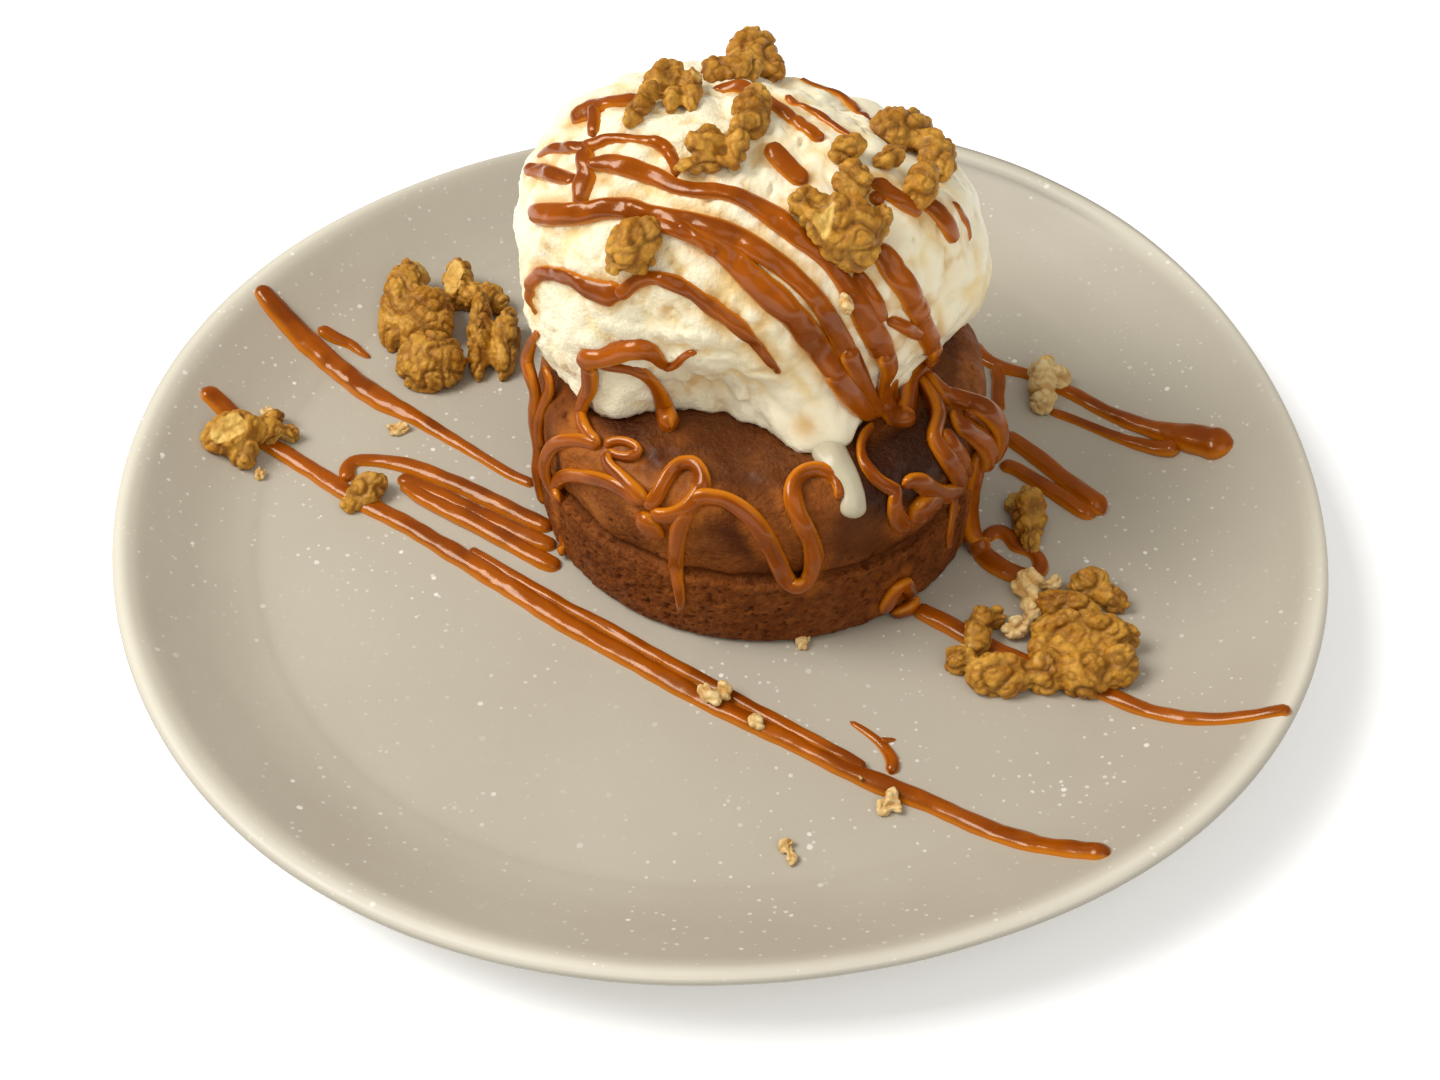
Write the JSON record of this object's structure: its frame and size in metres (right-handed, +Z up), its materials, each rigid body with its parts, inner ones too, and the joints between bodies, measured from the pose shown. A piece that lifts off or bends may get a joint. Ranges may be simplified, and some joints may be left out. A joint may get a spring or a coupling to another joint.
{
  "type": "plated date cake with ice cream, walnuts and caramel",
  "caption": "Round date cake on a hand-thrown plate, topped with a mound of ice cream, walnut pieces and strands of caramel that also run over the plate.",
  "frame": {"origin": "on the table under the foot ring, at the middle of the plate's box", "axes": "+Z up, +X to the diner's right, -Y towards the serving side that the picture shows"},
  "size_m": [0.2482, 0.2483, 0.1073],
  "materials": {
    "plate": "satin speckled glaze, warm beige grey",
    "cake": "moist baked crumb, brown, porous at the foot",
    "ice_cream": "soft cream, slightly wet where it melts",
    "walnut": "glazed walnut skin with paler breaks",
    "caramel": "glossy amber brown caramel"
  },
  "bodies": {
    "root": {"plate": "plate", "cake": "cake", "ice_cream": "ice_cream", "nut_peak": "walnut", "nut_curl": "walnut", "nut_big": "walnut", "nut_right": "walnut", "nut_chip": "walnut", "nut_front": "walnut", "nut_left": "walnut", "walnut_half_left": "walnut", "nut_rim_left": "walnut", "nut_small_left": "walnut", "walnut_half_right": "walnut", "walnut_lobe_right": "walnut", "nut_pale_chips": "walnut", "nut_wedge": "walnut", "nut_pale_right": "walnut"}
  },
  "joints": []
}
